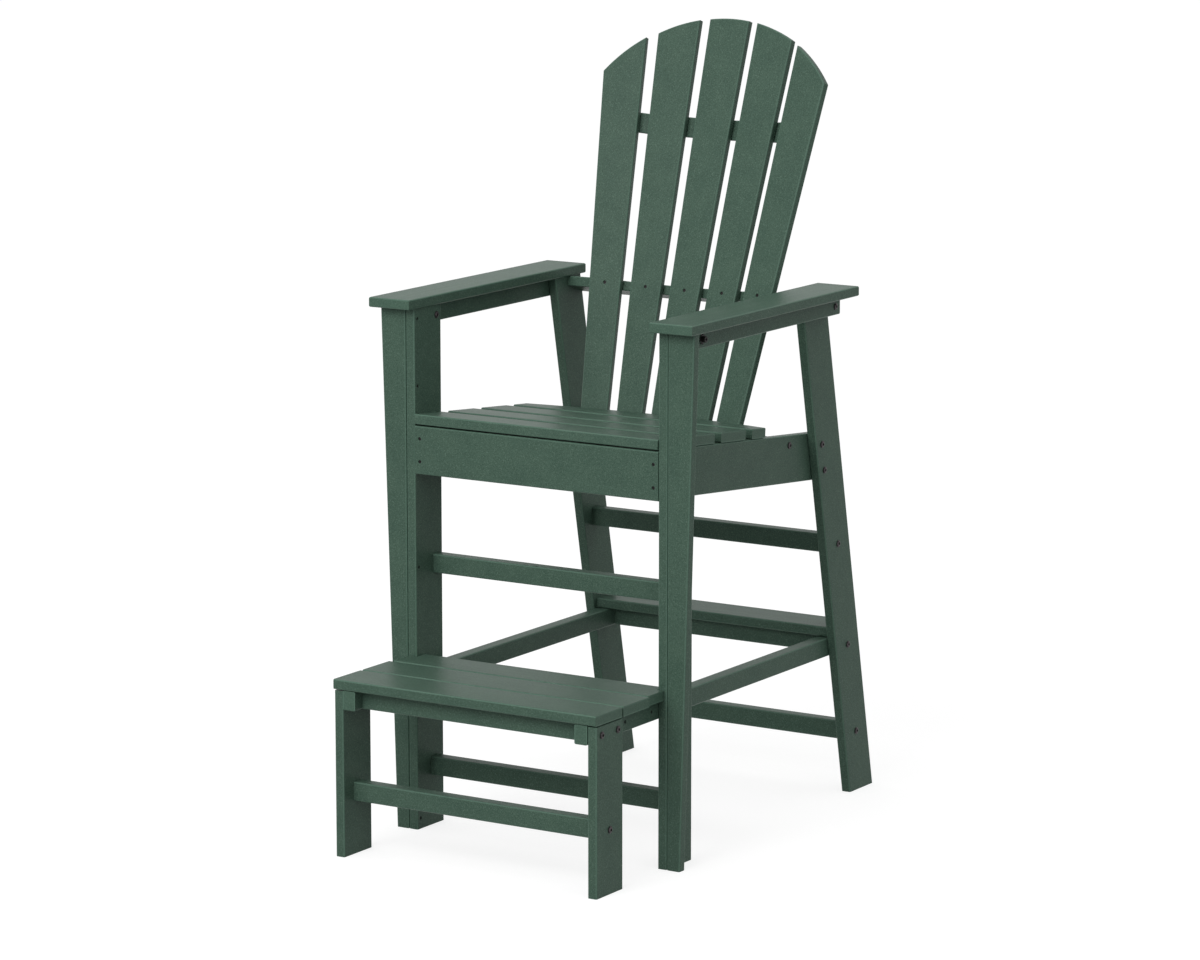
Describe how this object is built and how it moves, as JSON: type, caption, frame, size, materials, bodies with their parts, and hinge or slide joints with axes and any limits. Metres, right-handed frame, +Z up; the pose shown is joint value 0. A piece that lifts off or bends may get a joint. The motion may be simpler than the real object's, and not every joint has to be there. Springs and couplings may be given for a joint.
{
  "type": "lifeguard chair",
  "caption": "Tall armchair of bolted plastic lumber with a fanned, curved slat back, a slatted seat at counter height and a foot step in front.",
  "frame": {"origin": "on the ground, under the centre of the box round the whole chair", "axes": "+Z up, -Y the way the sitter faces, towards the foot step, +X to the right as seen from in front, which is the sitter's left. Names with left or right are as seen from in front."},
  "size_m": [0.6988, 1.0198, 1.4899],
  "materials": {
    "lumber": "dark green extruded recycled HDPE lumber with a fine matte grain",
    "bolts": "dark bronze coated steel, satin"
  },
  "bodies": {
    "root": {"left_front_leg_board": "lumber", "right_front_leg_board": "lumber", "left_front_leg_taper": "lumber", "right_front_leg_taper": "lumber", "left_back_leg": "lumber", "right_back_leg": "lumber", "left_arm": "lumber", "right_arm": "lumber", "left_under_arm_rail": "lumber", "right_under_arm_rail": "lumber", "left_seat_rail": "lumber", "right_seat_rail": "lumber", "left_long_rail": "lumber", "right_long_rail": "lumber", "left_step_leg": "lumber", "right_step_leg": "lumber", "seat_slat_1": "lumber", "seat_slat_2": "lumber", "seat_slat_3": "lumber", "seat_slat_4": "lumber", "front_apron": "lumber", "back_slat_1": "lumber", "back_slat_2": "lumber", "back_slat_3": "lumber", "back_slat_4": "lumber", "back_slat_5": "lumber", "mid_back_rail": "lumber", "rear_seat_rail": "lumber", "upper_back_brace": "lumber", "front_stretcher_upper": "lumber", "front_stretcher_lower": "lumber", "back_stretcher_upper": "lumber", "back_stretcher_lower": "lumber", "back_cross_rail": "lumber", "back_shelf_board": "lumber", "step_board_1": "lumber", "step_board_2": "lumber", "step_board_3": "lumber", "step_apron": "lumber", "step_cleat_middle": "lumber", "step_cleat_rear": "lumber", "step_stretcher": "lumber", "left_seat_bolt_upper": "bolts", "left_seat_bolt_lower": "bolts", "left_back_stretcher_bolt_upper": "bolts", "left_back_stretcher_bolt_lower": "bolts", "left_back_cross_rail_bolt": "bolts", "left_arm_bolt": "bolts", "left_step_bolt_front": "bolts", "left_step_bolt_rear": "bolts", "left_step_stretcher_bolt": "bolts", "right_seat_bolt_upper": "bolts", "right_seat_bolt_lower": "bolts", "right_back_stretcher_bolt_upper": "bolts", "right_back_stretcher_bolt_lower": "bolts", "right_back_cross_rail_bolt": "bolts", "right_arm_bolt": "bolts", "right_step_bolt_front": "bolts", "right_step_bolt_rear": "bolts", "right_step_stretcher_bolt": "bolts"}
  },
  "joints": []
}
